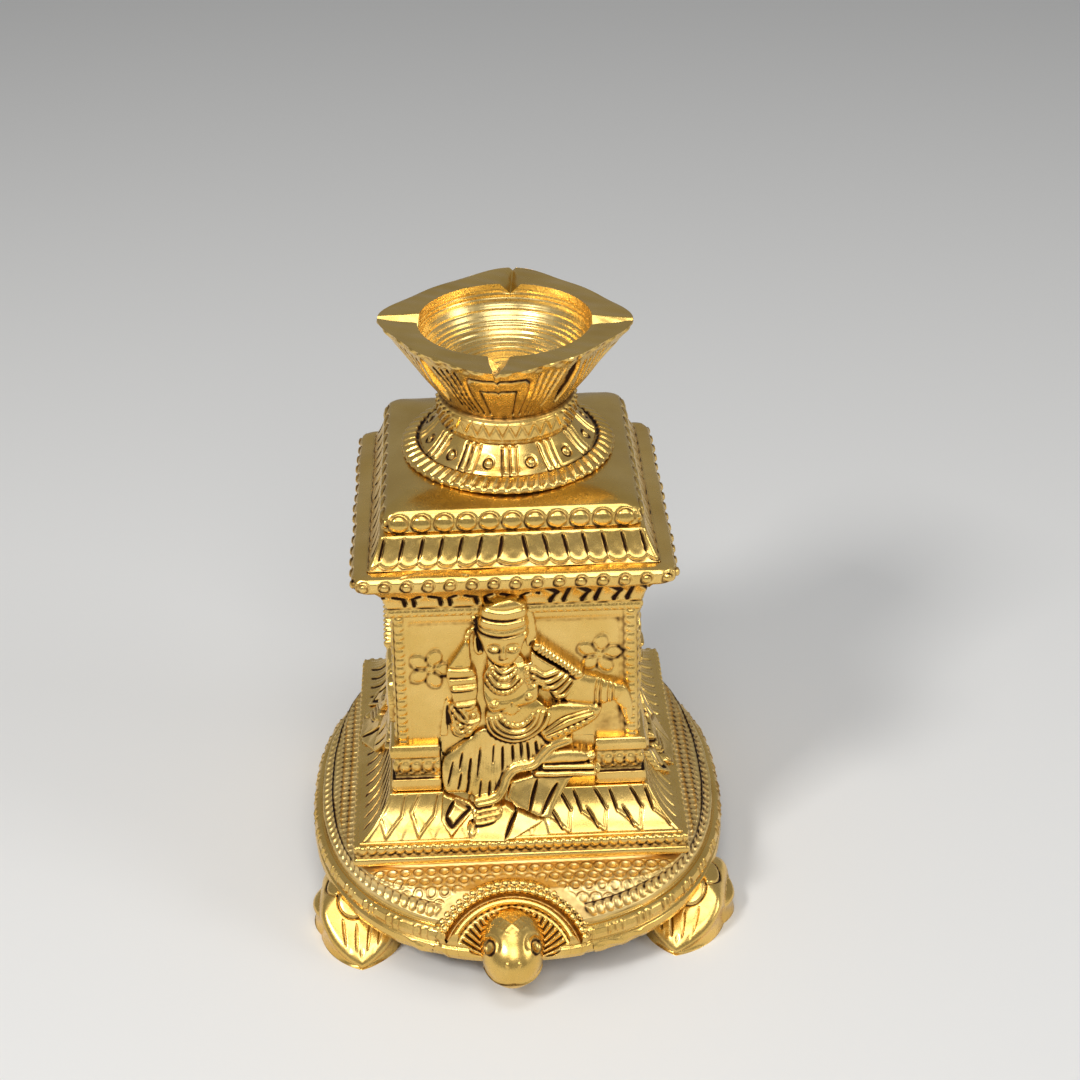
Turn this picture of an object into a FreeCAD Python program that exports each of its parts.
import FreeCAD, Part
import math
import os
from FreeCAD import Placement, Rotation, Vector

# A brass oil lamp on a square pedestal that stands on a tortoise.
# Millimetres, +Z up, the origin on the floor under the pedestal's axis, the tortoise's head towards -Y.

ORIGIN = Vector(0, 0, 0)
UP = Vector(0, 0, 1)
overrun = 1.0
spigot_gap = 0.15
spigot_wall = 1.6
spigot_depth = 1.8

# Carapace: a rim moulding, and above it a field that rises from the oval rim to a square seat
shell_lift = 7.8
rim_half_width = 45.0
rim_half_length = 51.4
rim_rise = 7.4
rim_round = 1.6
rim_rise_shares = (0.0, 0.14, 0.34, 0.66, 0.86, 1.0)
rim_round_shares = (0.9, 0.35, 0.06, 0.06, 0.35, 0.9)
border_inset = 2.4
border_rise = 8.0
field_rise = 12.7
shell_wall = 3.0
rim_exponent = 2.3
field_exponent = 3.6
seat_exponent = 9.0

# Arched collar on the carapace's front slope, in steps towards the neck
collar_ahead = 2.0
collar_aside = 2.7
collar_level = 9.0
collar_tilt_deg = 36.0
collar_radius = 18.4
collar_overhang = 0.6
collar_band_width = 4.1
collar_band_height = 1.5
collar_ring_width = 2.2
collar_ring_height = 2.6
collar_frill_width = 3.4
collar_frill_drop = 1.8
collar_round_share = 0.3
collar_depth = 11.0
neck_radius = 4.4
neck_depth = 4.0
neck_rise = 5.2

# Head and tail
head_overhang = 3.4
head_radius = 7.4
head_length = 18.0
head_nose_radius = 5.8
head_level = 10.8
head_nose_level = 8.6
tail_overhang = 6.6
tail_length = 14.0
tail_root_radius = 4.2
tail_tip_radius = 0.9
tail_root_level = 11.0
tail_tip_level = 6.0

# Feet: flippers that rise from a flat pad on the floor to the rim
foot_inset_x = 11.3
foot_inset_y = 20.6
foot_length = 23.4
foot_half_width = 9.0
foot_height = 12.0
foot_turn_left_deg = 0.0
foot_turn_right_deg = 12.0
foot_level_shares = (0.62, 0.84, 0.14)
foot_broad_share = 0.52
foot_heel_share = 0.62
foot_ball_share = 0.6
foot_side_share = 0.5

# Plinth
plinth_half = 34.5
plinth_height = 12.5
plinth_fillet_height = 1.6
plinth_fillet_inset = 0.5
plinth_band_height = 3.4
plinth_slope_foot_half = 33.2
plinth_slope_top_half = 26.6
plinth_slope_hollow = 1.1

# Die: a square shaft with corner pilasters, sunk panels and base blocks at the corners
bore_half = 20.0
die_half_foot = 24.8
die_half_top = 24.1
die_height = 41.8
pilaster_width = 2.6
panel_depth = 0.7
panel_margin = 1.4
block_half = 26.2
block_width = 10.4
block_height = 11.5
block_fillet_height = 3.2
block_recess = 0.8

# Figure in relief: it is a little taller than the die, and its limbs are shares of its height.
# A limb is one end's place (across, up, out of the ground) and radius, and then the other end's.
figure_height_share = 1.1
figure_limb_shares = (
    # crown, head, neck
    ((-0.028, 0.82, 0.005), 0.105, (-0.02, 0.925, 0.005), 0.078),
    ((-0.042, 0.735, 0.03), 0.092, (-0.046, 0.71, 0.03), 0.078),
    ((-0.04, 0.68, 0.01), 0.06, (-0.03, 0.62, 0.01), 0.07),
    # shoulders, chest, belly, lap
    ((-0.14, 0.605, 0.01), 0.068, (0.15, 0.615, 0.01), 0.068),
    ((-0.015, 0.53, -0.01), 0.13, (-0.03, 0.36, -0.01), 0.125),
    ((-0.105, 0.51, 0.07), 0.066, (-0.105, 0.5, 0.075), 0.06),
    ((0.045, 0.525, 0.07), 0.066, (0.045, 0.515, 0.075), 0.06),
    ((-0.17, 0.225, 0.01), 0.1, (0.14, 0.235, 0.01), 0.1),
    # bent arm on the left, stretched arm on the right
    ((-0.16, 0.62, 0.02), 0.06, (-0.26, 0.65, 0.03), 0.048),
    ((-0.26, 0.65, 0.03), 0.05, (-0.255, 0.5, 0.04), 0.052),
    ((-0.25, 0.5, 0.04), 0.049, (-0.2, 0.37, 0.04), 0.044),
    ((0.16, 0.61, 0.02), 0.06, (0.28, 0.53, 0.03), 0.056),
    ((0.275, 0.53, 0.03), 0.052, (0.45, 0.51, 0.035), 0.045),
    ((0.455, 0.505, 0.035), 0.042, (0.49, 0.38, 0.035), 0.034),
    # raised thigh, shin and foot on the right
    ((0.09, 0.28, 0.03), 0.1, (0.33, 0.37, 0.04), 0.08),
    ((0.33, 0.35, 0.04), 0.07, (0.2, 0.16, 0.03), 0.055),
    ((0.15, 0.125, 0.03), 0.05, (0.35, 0.115, 0.03), 0.036),
    # skirt on the left and between the legs
    ((-0.2, 0.21, 0.01), 0.09, (-0.26, 0.06, 0.01), 0.075),
    ((-0.09, 0.19, 0.01), 0.1, (-0.14, 0.04, 0.01), 0.09),
    ((0.03, 0.17, 0.01), 0.09, (-0.01, 0.06, 0.01), 0.07),
    # leg that hangs over the plinth's slope, and its foot
    ((0.15, 0.11, 0.02), 0.07, (0.06, -0.05, 0.03), 0.062),
    ((0.06, -0.05, 0.03), 0.06, (-0.17, -0.145, 0.02), 0.045),
    # sash
    ((-0.165, -0.02, 0.07), 0.03, (-0.03, 0.08, 0.09), 0.03),
    ((-0.035, 0.082, 0.09), 0.028, (0.23, 0.235, 0.1), 0.028),
)

# Cornice
cornice_height = 12.6
fillet_half = 24.9
fillet_height = 1.8
cavetto_foot_half = 25.2
cavetto_top_half = 30.0
cavetto_height = 7.4
cavetto_hollow = 1.2
corona_half = 31.3
corona_height = 2.9
corona_edge = 0.8
corona_corner_radius = 3.0

# Course of gadroons
gadroon_height = 6.4
gadroon_foot_half = 27.4
gadroon_top_half = 25.4
gadroon_belly = 0.6

# Cap: a bead-edged slab with the tapped boss under it
cap_half = 25.2
cap_face_height = 4.0
cap_face_lean = 0.8
cap_crown_rise = 1.6
cap_crown_inset = 8.4
boss_radius = 7.0
boss_drop = 21.0

# Lamp foot
foot_edge_radius = 21.2
foot_edge_height = 0.8
rope_inner_radius = 17.8
rope_rise = 1.8
skirt_mid_radius = 15.2
skirt_mid_rise = 3.9
skirt_top_radius = 13.2
skirt_rise = 6.6
foot_recess_radius = 9.0
foot_recess_depth = 1.4
foot_bore_gap = 0.08

# Neck ring
lamp_neck_radius = 13.8
lamp_neck_height = 5.5
lamp_neck_edge = 0.9

# Oil cup: a round turned bowl inside a rounded square cup with four lips
cup_height = 15.1
cup_turned_deg = -5.5
cup_foot_radius = 12.8
cup_waist_rise = 5.2
cup_waist_radius = 16.6
cup_waist_lip = 0.5
cup_rim_radius = 22.9
cup_rim_lip = 1.6
cup_rim_point = 0.45
cup_lip_deg = 14.0
bowl_radius = 16.9
bowl_depth = 11.0
bowl_wall_depth = 3.6
bowl_floor_radius = 5.2
notch_width = 4.4
notch_depth = 2.1
notch_tip_share = 0.25
wick_notches = 4

# Stud, clip, bolt and washer
stud_radius = 4.0
thread_engagement = 8.0
thread_gap = 0.05
tapped_depth = 10.0
stud_in_cup = 2.4
clip_radius = 6.2
clip_thickness = 0.8
clip_groove_depth = 0.5
clip_opening = 4.4
bolt_radius = 3.0
bolt_engagement = 9.0
bolt_hole_gap = 0.3
bolt_head_across_flats = 10.0
bolt_head_height = 4.0
bolt_head_sides = 6
washer_radius = 8.0
washer_thickness = 1.2

# Places on the carapace's rim, and the figure's height
collar_reach = rim_half_length + collar_ahead
collar_front = rim_half_length + collar_overhang
head_reach = collar_reach + head_overhang
tail_reach = rim_half_length + tail_overhang
foot_centre_x = rim_half_width - foot_inset_x
foot_centre_y = rim_half_length - foot_inset_y
figure_height = die_height * figure_height_share

# Levels above the floor, each from the piece below
collar_floor = collar_ring_height / 2 - collar_frill_drop
shell_seat = shell_lift + field_rise
plinth_top = shell_seat + plinth_height
die_top = plinth_top + die_height
cornice_top = die_top + cornice_height
gadroon_top = cornice_top + gadroon_height
crown_level = gadroon_top + cap_face_height + cap_crown_rise
skirt_top = crown_level + skirt_rise
cup_foot = skirt_top + lamp_neck_height
cup_rim = cup_foot + cup_height


def move(shape, x=0, y=0, z=0):
    """A copy of the shape, moved."""
    copy = shape.copy()
    copy.translate(Vector(x, y, z))
    return copy


def turn(shape, degrees, axis=UP, about=ORIGIN):
    """A copy of the shape, turned about an axis."""
    copy = shape.copy()
    copy.rotate(about, axis, degrees)
    return copy


def cylinder(radius, low, high):
    """A cylinder on the Z axis from one level to another."""
    return Part.makeCylinder(radius, high - low, Vector(0, 0, low))


def square_block(half, low, high):
    """A square block about the Z axis from one level to another."""
    return Part.makeBox(2 * half, 2 * half, high - low, Vector(-half, -half, low))


def arc_ring(radius_at, z, corner_deg):
    """A closed wire of eight arcs at a level: one round each axis, and one round each diagonal.

    radius_at gives the radius at an angle, and corner_deg is the angle from an axis to the joint of two arcs.
    """
    def at(degrees):
        angle = math.radians(degrees)
        return Vector(radius_at(angle) * math.cos(angle), radius_at(angle) * math.sin(angle), z)
    edges = []
    for axis_deg in range(0, 360, 90):
        joint, last = axis_deg + corner_deg, axis_deg + 90 - corner_deg
        edges.append(Part.Arc(at(axis_deg - corner_deg), at(axis_deg), at(joint)).toShape())
        edges.append(Part.Arc(at(joint), at(axis_deg + 45), at(last)).toShape())
    return Part.Wire(edges)


def oval(half_x, half_y, exponent, z):
    """An oval on a superellipse: exponent 2 is an ellipse, and a high one is a square with round corners."""
    def radius_at(angle):
        across = abs(math.cos(angle)) / half_x
        along = abs(math.sin(angle)) / half_y
        return (across ** exponent + along ** exponent) ** (-1 / exponent)
    joint_deg = 45 - 45 / exponent
    return arc_ring(radius_at, z, joint_deg)


def outline_edges(start, steps, side=1):
    """Edges of an open outline in the XZ plane. A step is a point, or the two points of an arc."""
    edges = []
    here = Vector(side * start[0], 0, start[1])
    for step in steps:
        points = [Vector(side * step[i], 0, step[i + 1]) for i in range(0, len(step), 2)]
        if len(points) == 1:
            edges.append(Part.LineSegment(here, points[0]).toShape())
        else:
            edges.append(Part.Arc(here, points[0], points[1]).toShape())
        here = points[-1]
    return edges


def square_course(start, steps):
    """A square moulding with mitred corners: its half-outline is run along X and along Y."""
    low, high = Vector(start[0], 0, start[1]), Vector(steps[-1][-2], 0, steps[-1][-1])
    edges = outline_edges(start, steps) + outline_edges(start, steps, -1)
    edges.append(Part.LineSegment(Vector(-low.x, 0, low.z), low).toShape())
    edges.append(Part.LineSegment(Vector(-high.x, 0, high.z), high).toShape())
    face = Part.Face(Part.Wire(Part.__sortEdges__(edges)))
    reach = max(start[0], max(max(step[0::2]) for step in steps)) + overrun
    run = move(face, y=-reach).extrude(Vector(0, 2 * reach, 0))
    return run.common(turn(run, 90))


def revolved(start, steps):
    """A turned solid about the Z axis from its half-outline, which starts and ends on the axis."""
    edges = outline_edges(start, steps)
    edges.append(Part.LineSegment(edges[-1].Vertexes[-1].Point, Vector(start[0], 0, start[1])).toShape())
    return Part.Face(Part.Wire(Part.__sortEdges__(edges))).revolve(ORIGIN, UP, 360)


def limb(start, start_radius, end, end_radius):
    """A round tapered solid with a rounded end at each of two points."""
    run = end - start
    slant = math.sqrt(0.5)
    solid = revolved(
        (0, -start_radius),
        [
            (start_radius * slant, -start_radius * slant, start_radius, 0),
            (end_radius, run.Length),
            (end_radius * slant, run.Length + end_radius * slant, 0, run.Length + end_radius),
        ],
    )
    solid.Placement = Placement(start, Rotation(UP, run))
    return solid


def register(low, high):
    """A square lip that seats in the bore of a course."""
    outer = bore_half - spigot_gap
    inner = outer - spigot_wall
    return square_block(outer, low, high).cut(square_block(inner, low - overrun, high + overrun))


def spigot(level):
    """A register below a course's underside, with the flange that carries it inside the course's bore."""
    flange = square_block(bore_half + overrun, level, level + spigot_depth)
    core = square_block(bore_half - spigot_gap - spigot_wall, level - overrun, level + spigot_depth + overrun)
    return flange.cut(core).fuse(register(level - spigot_depth, level + overrun))


# Tortoise

def carapace_section(inset, rise, exponent, width=rim_half_width, length=rim_half_length):
    """One oval of the carapace, in by an inset from the widest line."""
    return oval(width - inset, length - inset, exponent, shell_lift + rise)


def carapace_outside():
    rim_sections = []
    for rise, inset in zip(rim_rise_shares, rim_round_shares):
        rim_sections.append(carapace_section(rim_round * inset, rim_rise * rise, rim_exponent))
    rim = Part.makeLoft(rim_sections, True, True)
    field_inset = (border_inset + rim_half_width - plinth_half) / 2
    field_length_inset = (border_inset + rim_half_length - plinth_half) / 2
    middle = oval(
        rim_half_width - field_inset,
        rim_half_length - field_length_inset,
        field_exponent,
        shell_lift + (border_rise + field_rise) / 2 + shell_wall / 2,
    )
    field = Part.makeLoft(
        [
            carapace_section(border_inset, rim_rise - overrun, rim_exponent),
            carapace_section(border_inset, border_rise, rim_exponent),
            middle,
            oval(plinth_half, plinth_half, seat_exponent, shell_seat),
        ],
        True,
        True,
    )
    return rim.fuse(field)


def carapace_hollow():
    """The space under the shell, a wall thickness inside it."""
    crown = shell_seat - shell_wall
    return Part.makeLoft(
        [
            carapace_section(rim_round + shell_wall, -overrun, rim_exponent),
            carapace_section(border_inset + shell_wall, rim_rise, rim_exponent),
            oval(plinth_half - shell_wall, plinth_half - shell_wall, field_exponent, crown),
        ],
        True,
        True,
    )


def on_collar(shape):
    """Places a shape made about +Z on the collar's axis, which leans forward out of the front slope."""
    placed = shape.copy()
    spot = Vector(-collar_aside, -collar_reach, collar_level)
    placed.Placement = Placement(spot, Rotation(Vector(1, 0, 0), collar_tilt_deg)).multiply(placed.Placement)
    return placed


def below_shell():
    """The space under the level of the shell's edge."""
    half = 2 * rim_half_length
    return square_block(half, shell_lift - 2 * collar_radius, shell_lift)


def before_shell():
    """The space ahead of the shell's wall under the collar."""
    outline = Part.Face(oval(rim_half_width, collar_front, rim_exponent, -overrun))
    height = shell_seat + collar_radius
    within = outline.extrude(Vector(0, 0, height + 2 * overrun))
    return square_block(2 * rim_half_length, 0, height).cut(within)


def collar():
    """The arched collar: a round band, a round ring and a frill that slopes in to a flat floor."""
    band_inner = collar_radius - collar_band_width
    ring_inner = band_inner - collar_ring_width
    frill_inner = ring_inner - collar_frill_width
    steps = [(collar_radius, -collar_depth), (collar_radius, 0)]
    for outer, width, height, inner_rise in (
        (collar_radius, collar_band_width, collar_band_height, 0),
        (band_inner, collar_ring_width, collar_ring_height, collar_ring_height / 2),
    ):
        steps.append((outer - width * collar_round_share, height))
        steps.append((outer - width * (1 - collar_round_share), height))
        steps.append((outer - width, inner_rise))
    steps += [(frill_inner, collar_floor), (0, collar_floor)]
    return on_collar(revolved((0, -collar_depth), steps)).cut(below_shell()).cut(before_shell())


def neck_bore(radius):
    """The round neck that stands on the collar's floor, down to the shell's edge."""
    return on_collar(move(cylinder(radius, -neck_depth, collar_ring_height), y=neck_rise)).cut(below_shell())


def tortoise_shell():
    doorway = on_collar(cylinder(collar_radius - collar_band_width, collar_floor, 2 * collar_radius))
    kept = on_collar(cylinder(collar_radius, collar_floor - shell_wall, 2 * collar_radius))
    body = carapace_outside().cut(doorway).fuse(collar()).cut(carapace_hollow().cut(kept))
    body = body.cut(neck_bore(neck_radius))
    body = body.fuse(register(shell_seat - overrun, shell_seat + spigot_depth))
    bolt_hole = cylinder(bolt_radius + bolt_hole_gap, shell_lift, shell_seat + overrun)
    return body.cut(bolt_hole)


def tortoise_head(shell):
    nose = Vector(-collar_aside, head_nose_radius - head_reach, head_nose_level)
    back = Vector(-collar_aside, nose.y + head_length - head_nose_radius - head_radius, head_level)
    skull = limb(back, head_radius, nose, head_nose_radius)
    behind = on_collar(cylinder(rim_half_length, -rim_half_length, collar_floor)).cut(before_shell())
    return skull.cut(behind).cut(shell).fuse(neck_bore(neck_radius))


def tortoise_tail(shell):
    root = Vector(0, tail_reach - tail_length, tail_root_level)
    tip = Vector(0, tail_reach - tail_tip_radius, tail_tip_level)
    return limb(root, tail_root_radius, tip, tail_tip_radius).cut(shell)


def foot_prism(start, steps, depth):
    """A prism on the XZ plane, about that plane, from a half-outline that is mirrored in the Z axis."""
    edges = outline_edges(start, steps) + outline_edges(start, steps, -1)
    face = Part.Face(Part.Wire(Part.__sortEdges__(edges)))
    return move(face, y=-depth).extrude(Vector(0, 2 * depth, 0))


def tortoise_foot(shell, side, end):
    """One foot; side is 1 to the right and -1 to the left, end is -1 in front and 1 behind.

    It is the part common to three prisms: the pad's outline from above, the slope from the side, and an arch
    from the front.
    """
    half, length, height = foot_half_width, foot_length, foot_height
    heel_level, knee_level, toe_level = (height * share for share in foot_level_shares)
    broad = foot_broad_share * length
    pad = foot_prism(
        (0, -length / 2),
        [
            (half * foot_heel_share, -length / 2, half, -length / 2 + broad),
            (half * foot_ball_share, length / 2 - half * (1 - foot_ball_share), 0, length / 2),
        ],
        height,
    )
    pad = turn(pad, -90, Vector(1, 0, 0))
    arch = foot_prism(
        (0, -height),
        [(half, -height), (half, height * foot_side_share), (half * foot_ball_share, knee_level, 0, height)],
        length,
    )
    slope_edges = outline_edges(
        (-length, -height),
        [
            (-length, heel_level),
            (-length / 2, heel_level),
            (-length / 4, height, 0, knee_level),
            (length / 2, toe_level),
            (length / 2, -height),
            (-length, -height),
        ],
    )
    slope = move(Part.Face(Part.Wire(slope_edges)), y=-length).extrude(Vector(0, 2 * length, 0))
    ground = Part.makeBox(2 * length, 2 * length, height, Vector(-length, -length, 0))
    foot = pad.common(arch).common(turn(slope, 90)).common(ground)
    turned = foot_turn_left_deg if side < 0 else foot_turn_right_deg
    foot = move(turn(foot, turned), foot_centre_x, foot_centre_y)
    if side < 0:
        foot = foot.mirror(ORIGIN, Vector(1, 0, 0))
    if end < 0:
        foot = foot.mirror(ORIGIN, Vector(0, 1, 0))
    return foot.cut(shell)


# Pedestal

def plinth():
    low = shell_seat
    fillet_top = low + plinth_fillet_height
    band_top = fillet_top + plinth_band_height
    slope_middle = (plinth_slope_foot_half + plinth_slope_top_half) / 2 - plinth_slope_hollow
    body = square_course(
        (plinth_half - plinth_fillet_inset, low),
        [
            (plinth_half, fillet_top),
            (plinth_half, band_top),
            (plinth_slope_foot_half, band_top),
            (slope_middle, (band_top + plinth_top) / 2, plinth_slope_top_half, plinth_top),
        ],
    )
    return body.cut(square_block(bore_half, low - overrun, plinth_top + overrun))


def die():
    shaft = square_course((die_half_foot, plinth_top), [(die_half_top, die_top)])
    panel_half = die_half_top - pilaster_width
    panel_top = die_top - panel_margin
    pocket = Part.makeBox(
        2 * panel_half,
        2 * panel_depth,
        panel_top - plinth_top + overrun,
        Vector(-panel_half, -die_half_top - panel_depth, plinth_top - overrun),
    )
    block_top = plinth_top + block_height
    fillet_top = plinth_top + block_fillet_height
    neck_top = block_top - block_fillet_height
    blocks = square_course(
        (block_half, plinth_top),
        [
            (block_half, fillet_top),
            (block_half - block_recess, fillet_top),
            (block_half - block_recess, neck_top),
            (block_half, neck_top),
            (block_half, block_top),
        ],
    )
    corner = block_half - block_width
    for side in range(4):
        gap = Part.makeBox(
            2 * corner,
            2 * (block_half + overrun),
            block_height + 2 * overrun,
            Vector(-corner, -block_half - overrun, plinth_top - overrun),
        )
        blocks = blocks.cut(turn(gap, 90 * side)) if side < 2 else blocks
        shaft = shaft.cut(turn(pocket, 90 * side))
    body = shaft.fuse(blocks).cut(square_block(bore_half, plinth_top - overrun, die_top + overrun))
    return body.fuse(spigot(plinth_top))


def slope_out(z):
    """How far the plinth's slope stands out from the axis at a level."""
    slope_foot = shell_seat + plinth_fillet_height + plinth_band_height
    share = (plinth_top - z) / (plinth_top - slope_foot)
    return plinth_slope_top_half + (plinth_slope_foot_half - plinth_slope_top_half) * share


def figure_point(x_share, z_share, out_share):
    """A point of the figure from its shares: across, up from the die's foot, and out of its ground."""
    z = plinth_top + figure_height * z_share
    ground = die_half_top - panel_depth if z > plinth_top else slope_out(z)
    return Vector(figure_height * x_share, -ground - figure_height * out_share, z)


def figure(ground):
    """The seated figure of the front face, in relief on the pieces behind it."""
    limbs = []
    for first, first_radius, second, second_radius in figure_limb_shares:
        limbs.append(
            limb(
                figure_point(*first),
                figure_height * first_radius,
                figure_point(*second),
                figure_height * second_radius,
            )
        )
    body = limbs[0].multiFuse(limbs[1:])
    for piece in ground:
        body = body.cut(piece)
    return body


def cornice():
    fillet_top = die_top + fillet_height
    cavetto_top = fillet_top + cavetto_height
    corona_low = cornice_top - corona_height
    cavetto_middle = (cavetto_foot_half + cavetto_top_half) / 2 - cavetto_hollow
    body = square_course(
        (fillet_half, die_top),
        [
            (fillet_half, fillet_top),
            (cavetto_foot_half, fillet_top),
            (cavetto_middle, (fillet_top + cavetto_top) / 2, cavetto_top_half, cavetto_top),
            (corona_half - corona_edge, corona_low),
            (corona_half, corona_low + corona_edge / 2),
            (corona_half, cornice_top - corona_edge),
            (corona_half - corona_edge, cornice_top),
        ],
    )
    rounded = square_block(corona_half, die_top - overrun, cornice_top + overrun)
    upright = [edge for edge in rounded.Edges if abs(edge.tangentAt(edge.FirstParameter).z) > 0.9]
    rounded = rounded.makeFillet(corona_corner_radius, upright)
    body = body.common(rounded)
    body = body.cut(square_block(bore_half, die_top - overrun, cornice_top + overrun))
    return body.fuse(spigot(die_top))


def gadroon_course():
    middle = (gadroon_foot_half + gadroon_top_half) / 2 + gadroon_belly
    body = square_course(
        (gadroon_foot_half, cornice_top),
        [(middle, (cornice_top + gadroon_top) / 2, gadroon_top_half, gadroon_top)],
    )
    body = body.cut(square_block(bore_half, cornice_top - overrun, gadroon_top + overrun))
    return body.fuse(spigot(cornice_top))


def cap_slab():
    face_top = gadroon_top + cap_face_height
    slab = square_course(
        (cap_half, gadroon_top),
        [
            (cap_half, (gadroon_top + face_top) / 2),
            (cap_half - cap_face_lean, face_top),
            (
                cap_half - cap_crown_inset / 2,
                crown_level - cap_crown_rise / 4,
                cap_half - cap_crown_inset,
                crown_level,
            ),
        ],
    )
    boss = cylinder(boss_radius, crown_level - boss_drop, gadroon_top + overrun)
    stud_hole = cylinder(stud_radius + thread_gap, crown_level - tapped_depth, crown_level + overrun)
    bolt_low = crown_level - boss_drop
    bolt_hole = cylinder(bolt_radius, bolt_low - overrun, bolt_low + bolt_engagement)
    return slab.fuse(boss).fuse(spigot(gadroon_top)).cut(stud_hole).cut(bolt_hole)


# Inner fixings

def clamp_bolt():
    ceiling = shell_seat - shell_wall
    head_top = ceiling - washer_thickness
    tip = crown_level - boss_drop + bolt_engagement
    corner_radius = bolt_head_across_flats / 2 / math.cos(math.pi / bolt_head_sides)
    corners = []
    for i in range(bolt_head_sides + 1):
        angle = 2 * math.pi * i / bolt_head_sides
        spot = Vector(corner_radius * math.cos(angle), corner_radius * math.sin(angle), head_top)
        corners.append(spot)
    head = Part.Face(Part.makePolygon(corners)).extrude(Vector(0, 0, -bolt_head_height))
    return head.fuse(cylinder(bolt_radius, head_top, tip))


def bolt_washer():
    ceiling = shell_seat - shell_wall
    low = ceiling - washer_thickness
    disc = cylinder(washer_radius, low, ceiling)
    return disc.cut(cylinder(bolt_radius + bolt_hole_gap, low - overrun, ceiling + overrun))


def clip_level():
    """The clip's underside, just under the roof of the foot's recess."""
    return crown_level + foot_recess_depth - clip_thickness - spigot_gap


def lamp_stud():
    body = cylinder(stud_radius, crown_level - thread_engagement, cup_foot + stud_in_cup)
    low, high = clip_level(), clip_level() + clip_thickness
    core = cylinder(stud_radius - clip_groove_depth, low - overrun, high + overrun)
    groove = cylinder(stud_radius + overrun, low, high).cut(core)
    return body.cut(groove)


def stud_clip():
    low, high = clip_level(), clip_level() + clip_thickness
    ring = cylinder(clip_radius, low, high).cut(
        cylinder(stud_radius - clip_groove_depth, low - overrun, high + overrun)
    )
    mouth = Part.makeBox(
        clip_radius + overrun,
        clip_opening,
        clip_thickness + 2 * overrun,
        Vector(0, -clip_opening / 2, low - overrun),
    )
    return ring.cut(mouth)


# Lamp

def lamp_foot():
    body = revolved(
        (0, crown_level),
        [
            (foot_edge_radius, crown_level),
            (foot_edge_radius, crown_level + foot_edge_height),
            (rope_inner_radius, crown_level + rope_rise),
            (skirt_mid_radius, crown_level + skirt_mid_rise, skirt_top_radius, skirt_top),
            (0, skirt_top),
        ],
    )
    recess = cylinder(foot_recess_radius, crown_level - overrun, crown_level + foot_recess_depth)
    bore = cylinder(stud_radius + foot_bore_gap, crown_level - overrun, skirt_top + overrun)
    return body.cut(recess).cut(bore)


def neck_ring():
    body = revolved(
        (0, skirt_top),
        [
            (lamp_neck_radius - lamp_neck_edge, skirt_top),
            (lamp_neck_radius, skirt_top + lamp_neck_edge),
            (lamp_neck_radius, cup_foot - lamp_neck_edge),
            (lamp_neck_radius - lamp_neck_edge, cup_foot),
            (0, cup_foot),
        ],
    )
    return body.cut(cylinder(stud_radius, skirt_top - overrun, cup_foot + overrun))


def cup_outline(radius, lip, point, z):
    """A rounded square with its corners, the lips, towards the four axes."""
    def radius_at(angle):
        return radius + lip * math.cos(4 * angle) + point * math.cos(8 * angle)
    return arc_ring(radius_at, z, cup_lip_deg)


def wick_notch(angle_deg):
    """A V cut in the rim that narrows from the bowl out to the tip of one lip."""
    tip = cup_rim_radius + cup_rim_lip + cup_rim_point
    slope = notch_depth / (notch_width / 2)

    def section(reach):
        share = 1 - (1 - notch_tip_share) * (reach - bowl_radius) / (tip - bowl_radius)
        half_top = share * notch_width / 2 + overrun / slope
        corners = [
            Vector(reach, -half_top, cup_rim + overrun),
            Vector(reach, half_top, cup_rim + overrun),
            Vector(reach, 0, cup_rim - share * notch_depth),
        ]
        return Part.makePolygon(corners + corners[:1])
    wedge = Part.makeLoft([section(bowl_radius - overrun), section(tip + overrun)], True, True)
    return turn(wedge, angle_deg)


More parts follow.
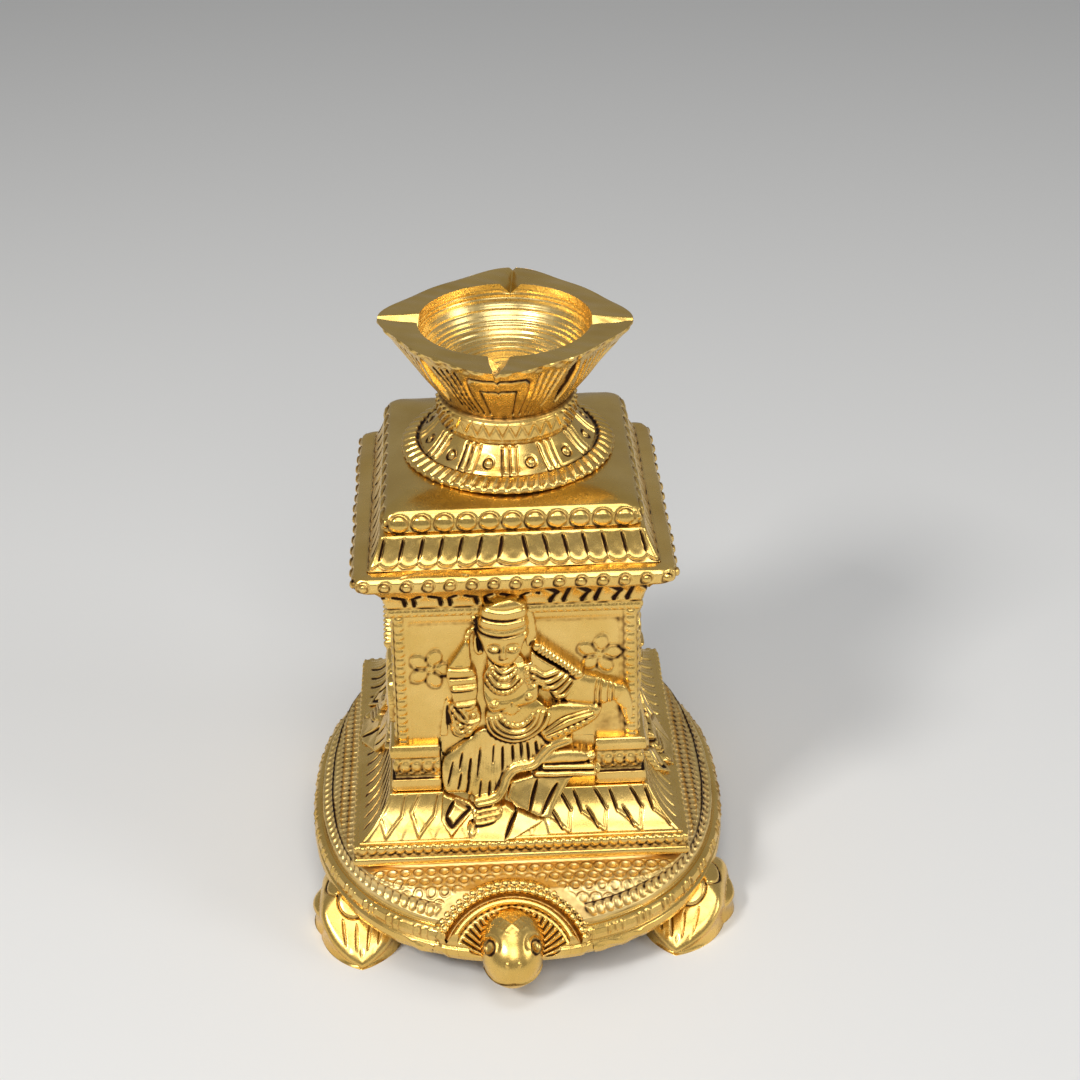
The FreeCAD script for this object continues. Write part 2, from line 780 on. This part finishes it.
def oil_cup():
    outside = Part.makeLoft(
        [
            cup_outline(cup_foot_radius, 0, 0, cup_foot),
            cup_outline(cup_waist_radius, cup_waist_lip, 0, cup_foot + cup_waist_rise),
            cup_outline(cup_rim_radius, cup_rim_lip, cup_rim_point, cup_rim),
        ],
        True,
    )
    floor = cup_rim - bowl_depth
    wall_foot = cup_rim - bowl_wall_depth
    shoulder = (bowl_radius + bowl_floor_radius) / 2
    bowl = revolved(
        (0, floor),
        [
            (bowl_floor_radius, floor),
            (shoulder + bowl_wall_depth / 2, floor + bowl_wall_depth / 2, bowl_radius, wall_foot),
            (bowl_radius, cup_rim + overrun),
            (0, cup_rim + overrun),
        ],
    )
    body = outside.cut(bowl)
    for i in range(wick_notches):
        body = body.cut(wick_notch(360 * i / wick_notches))
    body = body.cut(cylinder(stud_radius, cup_foot - overrun, cup_foot + stud_in_cup))
    return turn(body, cup_turned_deg)


def export(shape, name):
    """Writes one sub-part as a STEP file named after its node."""
    solid = shape.Solids[0] if len(shape.Solids) == 1 else Part.makeCompound(shape.Solids)
    solid.exportStep(os.path.join("parts", name + ".step"))
    print(name, len(shape.Solids), "solids", round(shape.Volume, 1), "mm3")


os.makedirs("parts", exist_ok=True)
shell = tortoise_shell()
export(shell, "tortoise_shell")
export(tortoise_head(shell), "tortoise_head")
export(tortoise_tail(shell), "tortoise_tail")
export(tortoise_foot(shell, -1, -1), "front_left_foot")
export(tortoise_foot(shell, 1, -1), "front_right_foot")
export(tortoise_foot(shell, -1, 1), "rear_left_foot")
export(tortoise_foot(shell, 1, 1), "rear_right_foot")
foot_course = plinth()
export(foot_course, "plinth")
shaft = die()
export(shaft, "die")
top_course = cornice()
export(top_course, "cornice")
bore_core = square_block(bore_half, shell_seat, cornice_top)
front_figure = figure([shaft, foot_course, top_course, bore_core])
for quarter, side in enumerate(("front", "right", "back", "left")):
    export(turn(front_figure, 90 * quarter), "figure_" + side)
export(gadroon_course(), "gadroon_course")
export(cap_slab(), "cap_slab")
export(clamp_bolt(), "clamp_bolt")
export(bolt_washer(), "bolt_washer")
export(lamp_foot(), "lamp_foot")
export(lamp_stud(), "lamp_stud")
export(stud_clip(), "stud_clip")
export(neck_ring(), "neck_ring")
export(oil_cup(), "oil_cup")
